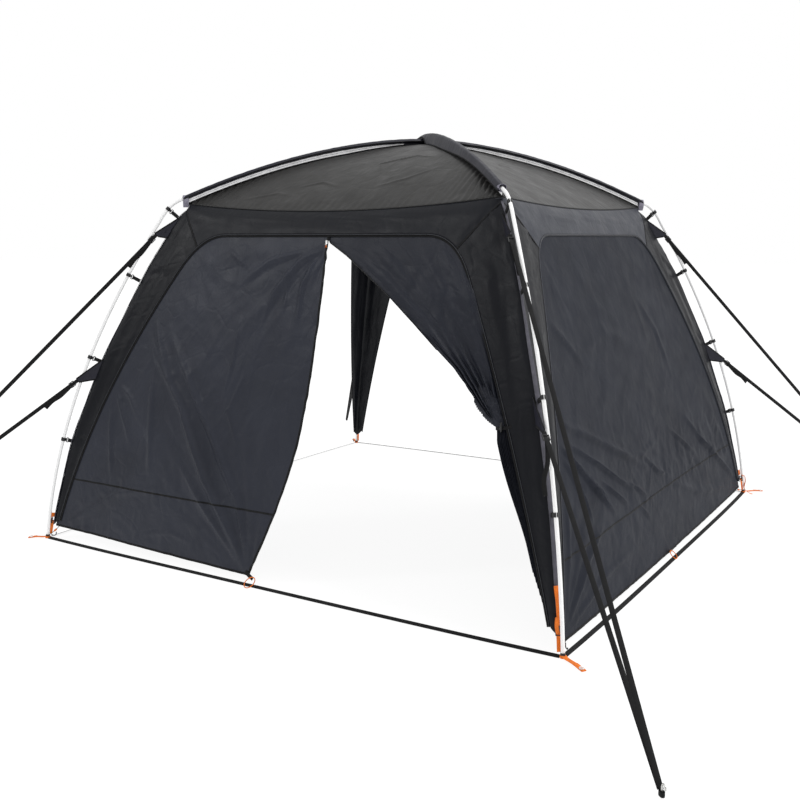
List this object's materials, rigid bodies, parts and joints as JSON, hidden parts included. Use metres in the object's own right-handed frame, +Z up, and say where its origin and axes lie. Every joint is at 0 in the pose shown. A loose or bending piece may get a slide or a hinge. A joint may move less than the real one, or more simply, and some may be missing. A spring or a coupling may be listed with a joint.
{
  "type": "camp shelter",
  "caption": "Square camp shelter with crossed arch poles, bowed legs, a panelled fabric roof, one closed side, a split door drawn half open and guy lines.",
  "frame": {"origin": "centre of the footprint at ground level", "axes": "+Z up; -Y towards the front with the split door; +X towards the closed side"},
  "size_m": [4.4206, 4.562, 2.1858],
  "materials": {
    "pole_steel": "white powder-coated tube, satin",
    "sleeve_cloth": "woven polyester pole sleeve",
    "roof_cloth": "coated polyester, dark grey-olive",
    "wall_cloth": "coated polyester, dark slate",
    "vent_mesh": "pale see-through mesh",
    "black_webbing": "woven strap",
    "orange_webbing": "woven strap",
    "black_plastic": "moulded hooks, buckles and caps",
    "peg_steel": "zinc plated"
  },
  "bodies": {
    "root": {"arch_pole_lower": "pole_steel", "arch_pole_upper": "pole_steel", "door_left": "wall_cloth", "door_right": "wall_cloth", "eave_band_back": "wall_cloth", "eave_band_front": "wall_cloth", "eave_band_left": "wall_cloth", "eave_band_right": "wall_cloth", "foot_anchor_back_left": "orange_webbing", "foot_anchor_back_right": "orange_webbing", "foot_anchor_front_left": "orange_webbing", "foot_anchor_front_right": "orange_webbing", "ground_strap_back": "black_webbing", "ground_strap_front": "black_webbing", "ground_strap_left": "black_webbing", "ground_strap_right": "black_webbing", "guy_lines_back_left": "black_webbing", "guy_lines_back_right": "black_webbing", "guy_lines_front_left": "black_webbing", "guy_lines_front_right": "black_webbing", "guy_peg_back_left": "peg_steel", "guy_peg_back_right": "peg_steel", "guy_peg_front_left": "peg_steel", "guy_peg_front_right": "peg_steel", "hem_tie_front": "black_webbing", "hem_tie_right": "black_webbing", "leg_panel_back_left": "wall_cloth", "leg_panel_back_right": "wall_cloth", "leg_panel_front_left": "wall_cloth", "leg_panel_front_right": "wall_cloth", "leg_pole_back_left": "pole_steel", "leg_pole_back_right": "pole_steel", "leg_pole_front_left": "pole_steel", "leg_pole_front_right": "pole_steel", "roof_panel_back": "roof_cloth", "roof_panel_front": "roof_cloth", "roof_panel_left": "roof_cloth", "roof_panel_right": "roof_cloth", "side_wall_right": "wall_cloth", "sleeve_lower": "sleeve_cloth", "sleeve_upper": "sleeve_cloth", "vent_strip_back_left": "vent_mesh", "vent_strip_back_right": "vent_mesh", "vent_strip_front_left": "vent_mesh", "vent_strip_front_right": "vent_mesh"}
  },
  "joints": []
}
